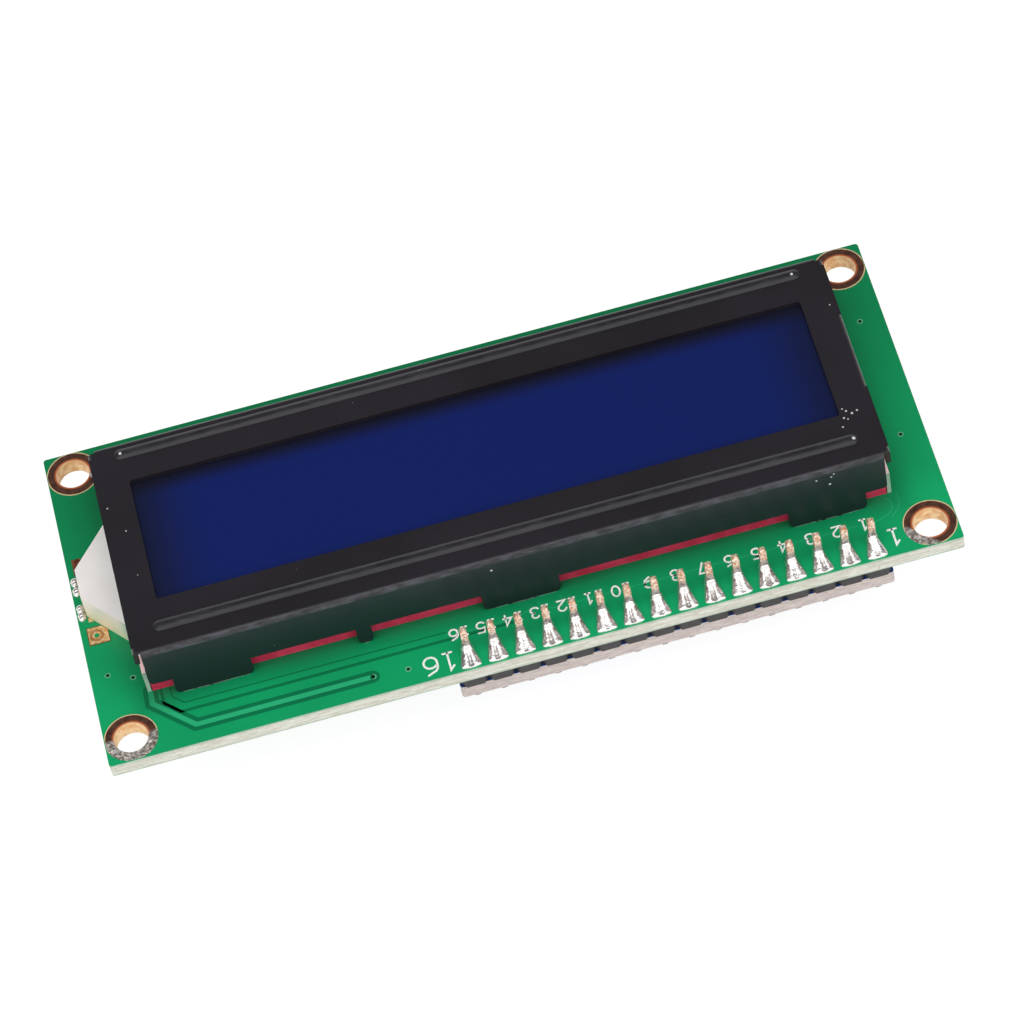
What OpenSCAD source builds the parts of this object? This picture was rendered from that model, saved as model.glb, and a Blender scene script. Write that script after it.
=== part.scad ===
// Character LCD module with a serial adapter board behind it.
// Seen from the front and read the right way up: +X to the right, +Y up to the pin row,
// +Z out of the display. The origin is the middle of the four mounting holes, on the
// front face of the main board.

/* [Display] */
// Length of the window in the bezel
window_w = 64.1; // [53:0.1:78]
// Height of the window in the bezel
window_d = 13.9; // [11.5:0.1:17]
// How far the window lies from the middle line, away from the pin row
window_shift = 0.5; // [0:0.1:0.9]
// Thickness of each of the two glass plates
glass_t = 1.1; // [0.7:0.1:1.4]
// Thickness of the front and the rear polarizer
polarizer_t = 0.25; // [0.15:0.05:0.4]
// Thickness of the diffuser film and of the reflector film
film_t = 0.2; // [0.1:0.05:0.3]
// How far the polarizers and films reach past the window
film_margin = 1; // [0.5:0.1:1.2]

/* [Bezel] */
// Bezel border beyond each end of the window
border_x = 3.25; // [2.8:0.05:4.5]
// Mean bezel border above and below the window
border_y = 5.15; // [4.7:0.05:6.5]
// Sheet thickness of the bezel
sheet_t = 0.45; // [0.35:0.05:0.55]
// Outer radius of the long bends
bend_r = 0.5; // [0.5:0.05:0.9]
// How far each long skirt stops short of the bezel's ends
skirt_inset = 0.7; // [0.6:0.1:2]
// Height of the skirt's raised edge above the board
skirt_gap = 2.35; // [1.5:0.05:3]
// Width of each foot
foot_w = 7.3; // [5:0.1:9]
// Distance from the bezel's end to the middle of an outer foot
foot_inset = 6.4; // [5.5:0.1:8]
// Radius of the feet's lower corners
foot_r = 0.7; // [0.2:0.1:1.5]
// Radius of the skirts' own lower corners
skirt_r = 0.4; // [0.1:0.1:0.8]
// Width of the twist tab under each foot
tab_w = 2.4; // [1.8:0.1:3]
// Length of a twist tab behind the board
tab_l = 1.5; // [1:0.1:2]
// Angle through which each twist tab is turned
tab_turn = 38; // [20:1:60]
// Width of the round-ended peg between two feet of the skirt by the pins
peg_w = 1.45; // [1.2:0.05:2]
// Place of the peg along the skirt
peg_x = 14.7; // [12:0.1:15]
// Distance of the peg's side of each stiffening bead from the skirt by the pins
bead_edge_pins = 2.7; // [2:0.1:2.8]
// Distance of the other bead from the far skirt
bead_edge_far = 1.4; // [1.4:0.1:2]
// Half the length of the beads
bead_half = 32.3; // [24:0.1:32.5]
// How far the beads stand out of the face
bead_h = 0.2; // [0.1:0.05:0.3]
// Length of the flange on the end beside pin 1
flange_l = 9; // [5:0.5:14]
// Depth of that flange below the face
flange_h = 3.4; // [2:0.1:3.6]
// Depth of the ears at the corners
ear_h = 1.9; // [1.1:0.1:2.5]
// Width of those ears
ear_w = 0.7; // [0.5:0.1:1.2]

/* [Light guide and contact strips] */
// Height of the light guide
guide_t = 3.6; // [2.8:0.1:4.3]
// Height of the nose and of the end walls above the board
nose_h = 3; // [2.2:0.1:3.3]
// How far the nose reaches past the end wall
nose_l = 3.95; // [3.2:0.05:4]
// Width of the nose at its root
nose_root = 12.9; // [10:0.1:14]
// Width of the nose at its tip
nose_tip = 3.3; // [3:0.1:5]
// Place of the nose across the module
nose_y = -0.6; // [-2:0.1:2]
// Thickness of the light guide's end walls
wall_t = 0.35; // [0.3:0.05:0.5]
// Thickness of the elastomer contact strips
strip_t = 2; // [1.5:0.1:2.2]
// Gap between a contact strip and the skirt
strip_gap = 0.55; // [0.3:0.05:0.8]

/* [Main board] */
// Board beyond each end of the bezel
board_end = 4.7; // [4.6:0.1:8]
// Board beyond each long side of the bezel
board_side = 5.9; // [5.8:0.1:9]
// Thickness of the main board
board_t = 1.6; // [1.2:0.1:2]
// Diameter of the plated mounting holes
hole_d = 3.2; // [2.5:0.1:3.4]
// Outer diameter of the copper lands round them
land_d = 5; // [4.2:0.1:5.2]
// Distance of the mounting holes from the board's edges
hole_edge = 2.5; // [2.3:0.1:3]

/* [Pin row] */
// Number of pins
pin_count = 16; // [14:1:16]
// Distance from pin to pin
pitch = 2.54; // [2:0.01:3.05]
// Width of the square pins
pin_w = 0.64; // [0.5:0.01:0.7]
// Distance of pin 1 from the board's end
pin1_end = 8; // [7.5:0.1:10]
// Distance of the pins from the board's upper edge
row_edge = 2.25; // [1.8:0.05:2.6]
// Height of the pin tips above the main board
pin_front = 3.3; // [2:0.1:4.5]
// Height of the pin tips behind the adapter board
pin_rear = 1.5; // [1.3:0.1:2]
// Height of the header's plastic, which sets the boards apart
header_h = 2.5; // [2.3:0.1:3]
// Width of the header's plastic
header_w = 2.5; // [2:0.1:2.6]
// Depth of the notches between its cells
notch = 0.45; // [0.3:0.05:0.6]
// Room left in the drilled holes beyond the corners of a pin
drill_room = 0.1; // [0.04:0.02:0.3]

/* [Solder] */
// Height of the solder round the pins on the main board
solder_h = 1.15; // [0.6:0.05:1.5]
// Half the width of those joints on the board
solder_r = 0.88; // [0.6:0.02:1]
// How far they reach behind a pin
solder_back = 0.7; // [0.5:0.05:0.9]
// Solder left short of the board's edge
solder_short = 0.1; // [0.02:0.02:0.4]
// Height of the round joints on the adapter board
fillet_h = 0.9; // [0.5:0.05:1.2]
// Radius of those joints on the board
fillet_r = 0.85; // [0.6:0.05:1]

/* [Parts behind the main board] */
// Radius of the resin over the controller chip
controller_r = 7.6; // [5:0.1:9]
// Height of that resin
controller_h = 1.6; // [1:0.1:1.7]
// Radius of the resin over the driver chip
driver_r = 6.8; // [4:0.1:9]
// Height of that resin
driver_h = 1.5; // [1:0.1:1.7]

/* [Adapter board] */
// Adapter board beyond each end of the header
pack_end = 0.18; // [0:0.01:1]
// Depth of the adapter board
pack_d = 19; // [18:0.5:22]
// Thickness of the adapter board
pack_t = 1.6; // [1:0.1:1.6]
// Distance of its pin row from its upper edge
pack_edge = 1.1; // [1:0.05:2]
// Width and depth of the trimmer
trimmer_w = 7; // [6:0.1:8]
// Height of the trimmer
trimmer_h = 4.9; // [4:0.1:6]
// Diameter of the trimmer's rotor
rotor_d = 3.5; // [3:0.1:4]
// Running clearance round the rotor
rotor_clear = 0.05; // [0.02:0.01:0.1]
// Length of the pins that the right-angle headers put out
plug_l = 6; // [5:0.1:6.1]
// Height and depth of the plastic of the right-angle headers
angle_block = 2.5; // [2:0.1:2.6]
// Distance from that plastic to the legs behind it
angle_leg = 1.1; // [0.9:0.1:1.6]
// Length of the shorting cap
cap_l = 6.5; // [6.3:0.1:9]
// Clearance between the shorting cap and its pins
cap_clear = 0.03; // [0.01:0.01:0.06]
// Length of the expander chip's body
chip_l = 10.3; // [9.8:0.1:12]
// Width of that body
chip_d = 7.5; // [6:0.1:7.6]
// Height of that body
chip_h = 2.3; // [1.6:0.1:2.6]

/* [Hidden] */
$fn = 48;
tiny = 0.01;

// Sizes of the bezel and of the main board
bezel_w = window_w + 2 * border_x;
bezel_d = window_d + 2 * border_y;
board_w = bezel_w + 2 * board_end;
board_d = bezel_d + 2 * board_side;
window_y = -window_shift;

// Heights in the stack between the main board and the bezel's face
guide_top = film_t + guide_t;
diffuser_top = guide_top + film_t;
rear_pol_top = diffuser_top + polarizer_t;
rear_glass_top = rear_pol_top + glass_t;
front_glass_top = rear_glass_top + glass_t;
face_under = front_glass_top + polarizer_t;
bezel_h = face_under + sheet_t;

// Places across the stack
skirt_in = bezel_d / 2 - sheet_t;
strip_out = skirt_in - strip_gap;
strip_in = strip_out - strip_t;
stack_clear = 0.2;
rear_half_d = strip_in - stack_clear;
front_half_d = skirt_in - 0.3;
wall_out = bezel_w / 2 - 0.2;
wall_in = wall_out - wall_t;
glass_half_w = wall_in - 0.15;
strip_half_w = wall_in - 0.1;

// Details of the bezel
skirt_l = bezel_w - 2 * skirt_inset;
window_r = 0.3;
bead_r = 1;
ear_y = bezel_d / 2 - bend_r - ear_w / 2;

// Feet, tabs and their slots
foot_pitch = bezel_w / 2 - foot_inset;
foot_x = [-foot_pitch, 0, foot_pitch];
slot_clear = 0.05;
tab_y = bezel_d / 2 - sheet_t / 2;

// Mounting holes
hole_x = board_w / 2 - hole_edge;
hole_y = board_d / 2 - hole_edge;
plating_t = 0.1;
copper_t = 0.05;
land_clip = 0.08;

// Pin row
pin1_x = -board_w / 2 + pin1_end;
row_y = board_d / 2 - row_edge;
row_mid_x = pin1_x + (pin_count - 1) * pitch / 2;
header_l = pin_count * pitch;
drill_d = pin_w * sqrt(2) + drill_room;
taper = 0.3;
tip_share = 0.55;

// Adapter board: its middle, its faces and the side that carries the parts
pack_w = header_l + 2 * pack_end;
pack_x = row_mid_x;
pack_y = row_y + pack_edge - pack_d / 2;
pack_front_z = -board_t - header_h;
pack_rear_z = pack_front_z - pack_t;
leg_out = 1;
leg_fillet_h = 0.6;

// Parts on the adapter board, measured from its middle
plug_count = 4;
plug_mid_y = -3.6;
jumper_count = 2;
jumper_mid_y = -2.5;
angle_leg_x = pack_w / 2 - angle_block - angle_leg;
trimmer_x = 9.2;
trimmer_y = -2.6;
trimmer_legs = [[-2.5, -2.5], [2.5, -2.5], [0, 2.5]];
chip_x = -5.2;
chip_y = -1.4;
chip_off = 0.1;
lead_pitch = 1.27;
lead_count = 8;
lead_w = 0.4;
lead_t = 0.25;
lead_span = 10.3;

// ---------- helpers ----------

module block(size, at = [0, 0, 0]) {
    translate([at[0] - size[0] / 2, at[1] - size[1] / 2, at[2]]) cube(size);
}

// A flat plate with round corners
module plate(w, d, h, r) {
    linear_extrude(h) rounded(w, d, r);
}

module rounded(w, d, r) {
    square([w - 2 * r, d], center = true);
    square([w, d - 2 * r], center = true);
    for (sx = [-1, 1], sy = [-1, 1])
        translate([sx * (w / 2 - r), sy * (d / 2 - r)]) circle(r);
}

// Places the children at each mounting hole
module at_holes() {
    for (sx = [-1, 1], sy = [-1, 1]) translate([sx * hole_x, sy * hole_y, 0]) children();
}

// Places the children at each pin of the long row
module at_pins() {
    for (k = [0 : pin_count - 1]) translate([pin1_x + k * pitch, row_y, 0]) children();
}

// Places the children on the side of the adapter board that carries its parts
module on_pack(x, y) {
    translate([pack_x + x, pack_y + y, pack_rear_z]) mirror([0, 0, 1]) children();
}

// A square pin along Z with tapered tips
module square_pin(z0, z1) {
    block([pin_w, pin_w, z1 - z0 - 2 * taper], [0, 0, z0 + taper]);
    translate([0, 0, z1 - taper]) linear_extrude(taper, scale = tip_share) square(pin_w, center = true);
    translate([0, 0, z0 + taper]) mirror([0, 0, 1])
        linear_extrude(taper, scale = tip_share) square(pin_w, center = true);
}

// A chip resistor or capacitor lying along X: body with two end caps
module chip_part(l, w, h, cap) {
    color("#1d1d20") block([l - 2 * cap, w, h]);
    color("silver") for (s = [-1, 1]) block([cap, w, h], [s * (l - cap) / 2, 0, 0]);
}

// ---------- main board ----------

module board_slots() {
    for (x = foot_x, s = [-1, 1])
        block([tab_w + 2 * slot_clear, sheet_t + 2 * slot_clear, board_t + 2],
            [x, s * tab_y, -board_t - 1]);
}

module main_board() {
    color("#00a05f") difference() {
        translate([0, 0, -board_t]) plate(board_w, board_d, board_t, 0.3);
        at_holes() translate([0, 0, -board_t - 1])
            cylinder(d = hole_d + 2 * plating_t, h = board_t + 2);
        at_pins() translate([0, 0, -board_t - 1]) cylinder(d = drill_d, h = board_t + 2);
        board_slots();
    }
}

// Copper rings on both faces, joined by the plated wall of each hole
module hole_lands() {
    color("#7a4a2c") intersection() {
        at_holes() difference() {
            union() {
                translate([0, 0, -board_t - copper_t])
                    cylinder(d = hole_d + 2 * plating_t, h = board_t + 2 * copper_t);
                cylinder(d = land_d, h = copper_t);
                translate([0, 0, -board_t - copper_t]) cylinder(d = land_d, h = copper_t);
            }
            translate([0, 0, -board_t - 1]) cylinder(d = hole_d, h = board_t + 2);
        }
        block([board_w - 2 * land_clip, board_d - 2 * land_clip, board_t + 2],
            [0, 0, -board_t - 1]);
    }
}

// Bare pads beside the nose: one with a cut corner and a plated hole, a long one, and a
// small one that the nose half covers
module test_pads() {
    pad = 2;
    cut = 0.65;
    x0 = board_w / 2 - 0.6;
    y0 = 2.45;
    color("#d9a860") linear_extrude(copper_t) difference() {
        union() {
            polygon([[x0, y0], [x0, y0 + pad], [x0 - pad, y0 + pad], [x0 - pad, y0 + cut],
                [x0 - pad + cut, y0]]);
            translate([x0 - 0.85, -5.65]) square([0.85, 1.85]);
            translate([x0 - 0.9, 1.1]) square([0.5, 0.7]);
        }
        translate([x0 - pad / 2 + 0.15, y0 + pad / 2]) circle(d = 0.5);
        nose_outline(0.05);
    }
}

// ---------- bezel ----------

// Section of the bent sheet across the module: the flat face up to the bend, the bend, and
// the skirt down to a given depth below the face
module bend_section(half, down) {
    translate([0, face_under]) square([half - bend_r, sheet_t]);
    translate([half - sheet_t, bezel_h - down]) square([sheet_t, down - bend_r]);
    intersection() {
        translate([half - bend_r, bezel_h - bend_r]) difference() {
            circle(bend_r);
            circle(bend_r - sheet_t);
        }
        translate([half - bend_r, bezel_h - bend_r]) square(bend_r);
    }
}

// A strip that hangs from a height, with round lower corners or, at r = w / 2, a round end
module hanging(w, top, bottom, r) {
    translate([-w / 2, bottom + r]) square([w, top - bottom - r]);
    if (w > 2 * r) translate([r - w / 2, bottom]) square([w - 2 * r, top - bottom]);
    for (s = [-1, 1]) translate([s * (w / 2 - r), bottom + r]) circle(r);
}

// A long skirt seen from outside: raised edge, feet that stand on the board, the necks that
// go through it, and the peg
module skirt_outline(with_peg) {
    hanging(skirt_l, bezel_h - bend_r, skirt_gap, skirt_r);
    for (x = foot_x) translate([x, 0]) {
        hanging(foot_w, skirt_gap + tiny, 0, foot_r);
        translate([-tab_w / 2, -board_t]) square([tab_w, board_t + tiny]);
    }
    if (with_peg) translate([-peg_x, 0]) hanging(peg_w, skirt_gap + tiny, 0, peg_w / 2);
}

// One long side on +Y: the bend along the face, the skirt below it and the twisted tabs
module long_side(with_peg) {
    translate([skirt_l / 2, 0, 0]) rotate([90, 0, -90]) linear_extrude(skirt_l)
        mirror([1, 0]) intersection() {
            bend_section(bezel_d / 2, bend_r + tiny);
            translate([bezel_d / 2 - bend_r, 0]) square([bend_r, bezel_h]);
        }
    translate([0, bezel_d / 2 - sheet_t, 0]) rotate([90, 0, 180]) linear_extrude(sheet_t)
        skirt_outline(with_peg);
    for (x = foot_x) translate([x, tab_y, -board_t - tab_l]) rotate(tab_turn)
        block([tab_w, sheet_t, tab_l]);
}

// A raised stiffening bead with round ends
module bead(y) {
    z = bezel_h + bead_h - bead_r;
    intersection() {
        translate([0, y, z]) {
            rotate([0, 90, 0]) cylinder(r = bead_r, h = 2 * bead_half, center = true);
            for (s = [-1, 1]) translate([s * bead_half, 0, 0]) sphere(bead_r);
        }
        block([bezel_w, 3 * bead_r, bead_r], [0, y, bezel_h - sheet_t / 2]);
    }
}

// A strip of the +X end that is bent down: the flange, or an ear at a corner
module end_flange(y, w, down) {
    translate([0, y + w / 2, 0]) rotate([90, 0, 0]) linear_extrude(w) intersection() {
        bend_section(bezel_w / 2, down);
        translate([bezel_w / 2 - bend_r, 0]) square([bend_r, bezel_h]);
    }
}

// The flat of the face, cut back where its ends are bent down
module face_outline() {
    difference() {
        square([bezel_w, bezel_d - 2 * bend_r], center = true);
        for (sx = [-1, 1], sy = [-1, 1])
            translate([sx * bezel_w / 2, sy * ear_y]) square([2 * bend_r, ear_w], center = true);
        translate([-bezel_w / 2, window_y]) square([2 * bend_r, flange_l], center = true);
        translate([0, window_y]) rounded(window_w, window_d, window_r);
    }
}

module bezel() {
    color("#1e1c20") {
        translate([0, 0, face_under]) linear_extrude(sheet_t) face_outline();
        long_side(true);
        mirror([0, 1, 0]) long_side(false);
        for (sx = [0, 1], sy = [0, 1]) mirror([sx, 0, 0]) mirror([0, sy, 0])
            end_flange(ear_y, ear_w, ear_h);
        mirror([1, 0, 0]) end_flange(window_y, flange_l, flange_h);
        bead(bezel_d / 2 - bead_edge_pins);
        bead(bead_edge_far - bezel_d / 2);
    }
}

// ---------- display stack ----------

module front_polarizer() {
    color("#12206a") translate([0, window_y, front_glass_top])
        plate(window_w + 2 * film_margin, window_d + 2 * film_margin, polarizer_t, 0.1);
}

module front_glass() {
    color("#c8d6d8") block([2 * glass_half_w, 2 * front_half_d, glass_t],
        [0, 0, rear_glass_top]);
}

module rear_glass() {
    color("#b8c8cc") block([2 * glass_half_w, 2 * rear_half_d, glass_t], [0, 0, rear_pol_top]);
}

module rear_polarizer() {
    color("#8a93a8") block([window_w + 2 * film_margin, 2 * rear_half_d - film_margin,
        polarizer_t], [0, 0, diffuser_top]);
}

module diffuser_film() {
    color("white") block([window_w + 2 * film_margin, 2 * rear_half_d - film_margin, film_t],
        [0, 0, guide_top]);
}

// The nose seen from the front, grown by a clearance
module nose_outline(grow = 0) {
    root = nose_root / 2 + grow * 1.5;
    tip = nose_tip / 2 + grow;
    translate([wall_out, nose_y]) polygon([[-tiny, -root], [nose_l + grow, -tip],
        [nose_l + grow, tip], [-tiny, root]]);
}

// White moulded guide: the slab under the glass, an end wall at each end of the contact
// strips, and the tapered nose that takes the light in
module light_guide() {
    led_pocket_l = 1.05;
    color("#f6f1ee") difference() {
        union() {
            block([2 * wall_in, 2 * rear_half_d, guide_t], [0, 0, film_t]);
            for (s = [-1, 1]) block([wall_t + tiny, 2 * strip_out, nose_h],
                [s * (wall_in + wall_t / 2), 0, 0]);
            linear_extrude(nose_h) nose_outline();
        }
        block([led_pocket_l + 1, nose_tip - 0.5, nose_h - 0.6],
            [wall_out + nose_l - led_pocket_l / 2 + 0.5, nose_y, -1]);
    }
}

module reflector_film() {
    color("#fbfbfb") block([2 * wall_in - 1, 2 * rear_half_d - 0.4, film_t]);
}

module contact_strip(side) {
    color("#ee4066") block([2 * strip_half_w, strip_t, rear_glass_top],
        [0, side * (strip_in + strip_out) / 2, 0]);
}

module contact_strip_upper() { contact_strip(1); }

module contact_strip_lower() { contact_strip(-1); }

// Side-firing lamp in the pocket at the nose's tip
module backlight_led() {
    lamp = [0.85, nose_tip - 0.7, nose_h - 1.75];
    color("#f3ecd2") block(lamp, [wall_out + nose_l - lamp[0] / 2 - 0.05, nose_y, 0]);
}

// Lumps of solder along the board's edge, at the lamp's two ends
module led_solder() {
    r = 0.42;
    x = board_w / 2 - r - 0.08;
    lumps = [-2.5, -1.4, 0.65, 1.5];
    color("#d8d5d2") intersection() {
        for (y = lumps) translate([x, nose_y + y, 0]) {
            sphere(r);
            translate([0, 0.3, 0]) sphere(0.9 * r);
        }
        block([2, 4 * nose_tip, 2], [x, nose_y, 0]);
    }
}

// ---------- parts behind the main board ----------

// A dome of resin over a bare chip
module resin_blob(r, h) {
    ball = (r * r + h * h) / (2 * h);
    translate([0, 0, -board_t]) mirror([0, 0, 1]) intersection() {
        translate([0, 0, h - ball]) sphere(ball, $fn = 96);
        cylinder(r = r + 1, h = h + 1);
    }
}

module controller_blob() {
    color("#141414") translate([-board_w / 6, -board_d / 6, 0]) resin_blob(controller_r, controller_h);
}

module driver_blob() {
    color("#141414") translate([board_w / 4.4, -board_d / 8, 0]) resin_blob(driver_r, driver_h);
}

module behind_board(x, y) {
    translate([x, y, -board_t]) mirror([0, 0, 1]) children();
}

// Bias, clock and backlight resistors
module board_resistors() {
    for (k = [0 : 4]) behind_board(board_w / 2 - 9 - k * 3, row_y - 2.5)
        rotate(90) chip_part(1.6, 0.8, 0.45, 0.3);
    behind_board(board_w / 2 - 6.5, -board_d / 4) rotate(90) chip_part(3.2, 1.6, 0.6, 0.5);
    behind_board(board_w / 30, -board_d / 3.4) chip_part(2, 1.25, 0.5, 0.35);
}

module board_capacitors() {
    behind_board(board_w / 20, board_d / 30) chip_part(2, 1.25, 0.85, 0.45);
    behind_board(-board_w / 2.6, -board_d / 3.4) rotate(90) chip_part(2, 1.25, 0.85, 0.45);
}

// ---------- pin row ----------

// Plastic of a straight header: cells with cut corners
module header_cells(count, h) {
    half = header_w / 2;
    for (k = [0 : count - 1]) translate([(k - (count - 1) / 2) * pitch, 0, 0])
        linear_extrude(h) polygon([[-pitch / 2, half - notch], [-pitch / 2 + notch, half],
            [pitch / 2 - notch, half], [pitch / 2, half - notch], [pitch / 2, notch - half],
            [pitch / 2 - notch, -half], [notch - pitch / 2, -half],
            [-pitch / 2, notch - half]]);
}

module header_strip() {
    color("#4a4446") difference() {
        translate([row_mid_x, row_y, pack_front_z]) header_cells(pin_count, header_h);
        at_pins() block([pin_w, pin_w, header_h + 2], [0, 0, pack_front_z - 1]);
    }
}

module header_pins() {
    color("#b09a8c") at_pins() square_pin(pack_rear_z - pin_rear, pin_front);
}

// Outline of one front joint at a share t of its height: round at the pin, and drawn out
// towards the board's edge at the foot
solder_top_r = pin_w * 0.72;
solder_reach = row_edge - solder_r - solder_short;
solder_rings = [0, 0.12, 0.32, 0.62, 1];
solder_points = 16;
function narrowing(t, foot, top, power) = top + (foot - top) * pow(1 - t, power);
function solder_point(a, t) = [
    narrowing(t, solder_r, solder_top_r, 1.7) * cos(a),
    sin(a) < 0 ? narrowing(t, solder_back, solder_top_r, 1.7) * sin(a)
        : narrowing(t, solder_r, solder_top_r, 1.7) * sin(a) + solder_reach * pow(1 - t, 1.3),
    t * solder_h];
function solder_ring(t) = [for (k = [0 : solder_points - 1])
    solder_point((k + 0.5) * 360 / solder_points, t)];

// Skin through a stack of rings that have the same number of points
module loft(rings) {
    n = len(rings[0]);
    m = len(rings);
    polyhedron([for (ring = rings, p = ring) p], concat(
        [[for (k = [n - 1 : -1 : 0]) k]],
        [for (i = [0 : m - 2], k = [0 : n - 1])
            [i * n + k, i * n + (k + 1) % n, (i + 1) * n + (k + 1) % n, (i + 1) * n + k]],
        [[for (k = [0 : n - 1]) (m - 1) * n + k]]));
}

module front_solder() {
    color("#e9e6e4") at_pins() difference() {
        loft([for (t = solder_rings) solder_ring(t)]);
        block([pin_w, pin_w, solder_h + 2], [0, 0, -1]);
    }
}

// ---------- adapter board ----------

module adapter_board() {
    color("#1b5fa8") difference() {
        translate([pack_x, pack_y, pack_rear_z]) plate(pack_w, pack_d, pack_t, 0.3);
        at_pins() translate([0, 0, pack_rear_z - 1]) cylinder(d = drill_d, h = pack_t + 2);
        at_plug_legs() translate([0, 0, -pack_t - 1])
            cylinder(d = drill_d, h = pack_t + 2);
        at_jumper_legs() translate([0, 0, -pack_t - 1])
            cylinder(d = drill_d, h = pack_t + 2);
        at_trimmer_legs() translate([0, 0, -pack_t - 1])
            cylinder(d = trimmer_drill_d, h = pack_t + 2);
    }
}

// A concave round fillet of solder, standing on Z = 0 about a square or round leg
module fillet(foot_r, top_r, h) {
    curve = [for (t = [0 : 0.25 : 1]) [top_r + (foot_r - top_r) * pow(1 - t, 1.8), t * h]];
    rotate_extrude($fn = 24) polygon(concat([[0, 0]], curve, [[0, h]]));
}

module adapter_solder() {
    color("#e9e6e4") at_pins() difference() {
        translate([0, 0, pack_rear_z]) mirror([0, 0, 1]) fillet(fillet_r, solder_top_r, fillet_h);
        block([pin_w, pin_w, 4], [0, 0, pack_rear_z - 3]);
    }
}

// Legs of the right-angle headers and of the trimmer, seen with the parts' side upward
module at_plug_legs() {
    for (k = [0 : plug_count - 1])
        on_pack(-angle_leg_x, plug_mid_y + (k - (plug_count - 1) / 2) * pitch) children();
}

module at_jumper_legs() {
    for (k = [0 : jumper_count - 1])
        on_pack(angle_leg_x, jumper_mid_y + (k - (jumper_count - 1) / 2) * pitch) children();
}

trimmer_leg_d = 0.5;
trimmer_drill_d = 0.8;
module at_trimmer_legs() {
    for (p = trimmer_legs) on_pack(trimmer_x + p[0], trimmer_y + p[1]) children();
}

// Solder where those legs come through, on the side that faces the main board
module leg_solder() {
    color("#e9e6e4") {
        at_plug_legs() angle_joint();
        at_jumper_legs() angle_joint();
        at_trimmer_legs() translate([0, 0, -pack_t]) mirror([0, 0, 1]) difference() {
            fillet(0.9 * fillet_r, 0.7 * trimmer_leg_d, leg_fillet_h);
            cylinder(d = trimmer_leg_d, h = 2);
        }
    }
}

module angle_joint() {
    translate([0, 0, -pack_t]) mirror([0, 0, 1]) difference() {
        fillet(fillet_r, solder_top_r, leg_fillet_h);
        block([pin_w, pin_w, 2], [0, 0, -0.5]);
    }
}

// Row of bent pins: each leg goes through the board, and its long arm goes out over the edge
module angle_pins() {
    arm_z = angle_block / 2 - pin_w / 2;
    arm_l = angle_leg + angle_block + plug_l - taper + pin_w / 2;
    block([pin_w, pin_w, pack_t + leg_out + angle_block / 2 + pin_w / 2],
        [0, 0, -pack_t - leg_out]);
    translate([-arm_l + pin_w / 2, 0, arm_z]) translate([0, -pin_w / 2, 0])
        cube([arm_l, pin_w, pin_w]);
    translate([-arm_l + pin_w / 2, 0, arm_z + pin_w / 2]) rotate([0, -90, 0])
        linear_extrude(taper, scale = tip_share) square(pin_w, center = true);
}

// Plastic of a right-angle header, standing on the board with its outer face at the edge
module angle_header(count) {
    difference() {
        translate([-angle_leg - angle_block, 0, angle_block / 2]) rotate([90, 0, 90])
            linear_extrude(angle_block) square([count * pitch, angle_block], center = true);
        for (k = [0 : count - 1])
            block([3 * angle_block, pin_w, pin_w], [-angle_leg - angle_block / 2,
                (k - (count - 1) / 2) * pitch, angle_block / 2 - pin_w / 2]);
        // the cells are parted by notches
        for (k = [1 : max(1, count - 1)], z = [0, angle_block])
            translate([-angle_leg - angle_block / 2, (k - count / 2) * pitch, z])
                rotate([0, 90, 0]) cylinder(r = notch, h = angle_block + 2, center = true,
                    $fn = 4);
    }
}

module plug_header() {
    color("#1b1b1d") on_pack(-angle_leg_x, plug_mid_y) angle_header(plug_count);
}

module plug_pins() {
    color("#d8b070") at_plug_legs() angle_pins();
}

module jumper_header() {
    color("#1b1b1d") on_pack(angle_leg_x, jumper_mid_y) mirror([1, 0, 0])
        angle_header(jumper_count);
}

module jumper_pins() {
    color("#d8b070") at_jumper_legs() mirror([1, 0, 0]) angle_pins();
}

// Shorting cap pushed over the two jumper pins
module jumper_cap() {
    gap = 0.1;
    w = 2 * pitch - 0.2;
    rib_l = 0.8;
    rib_out = 0.25;
    socket = pin_w + 2 * cap_clear;
    cap_x = angle_leg_x + angle_leg + angle_block + gap;
    color("#202228") on_pack(cap_x, jumper_mid_y) difference() {
        union() {
            block([cap_l, w, angle_block], [cap_l / 2, 0, 0]);
            // grip rib at the outer end
            block([rib_l, w, angle_block + 2 * rib_out], [cap_l - rib_l / 2, 0, -rib_out]);
        }
        for (s = [-1, 1]) block([2 * plug_l, socket, socket],
            [0, s * pitch / 2, (angle_block - socket) / 2]);
    }
}

// ---------- chip ----------

module expander_chip() {
    color("#232326") on_pack(chip_x, chip_y) difference() {
        block([chip_l, chip_d, chip_h], [0, 0, chip_off]);
        // pin 1 dimple and the bevel along the pin 1 side
        translate([-chip_l / 2 + 1.4, -chip_d / 2 + 1.5, chip_off + chip_h - 0.12])
            cylinder(d = 1.1, h = 1);
        translate([0, -chip_d / 2, chip_off + chip_h]) rotate([0, 90, 0])
            cylinder(r = 0.6, h = chip_l + 2, center = true, $fn = 4);
    }
}

// Gull-wing leads on both long sides
module expander_leads() {
    reach = (lead_span - chip_d) / 2;
    mid_z = chip_off + chip_h / 2;
    color("#c9c9cc") on_pack(chip_x, chip_y)
        for (s = [-1, 1], k = [0 : lead_count - 1])
            translate([(k - (lead_count - 1) / 2) * lead_pitch + lead_w / 2, s * chip_d / 2, 0])
                mirror([0, s < 0 ? 1 : 0, 0]) rotate([90, 0, -90]) linear_extrude(lead_w)
                    mirror([1, 0]) polygon([[0, mid_z], [0.45, mid_z],
                        [0.6, lead_t], [reach, lead_t], [reach, 0], [0.4, 0],
                        [0.3, mid_z - lead_t], [0, mid_z - lead_t]]);
}

// ---------- trimmer ----------

rotor_seat = 1.3;
rotor_out = 0.15;

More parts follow.
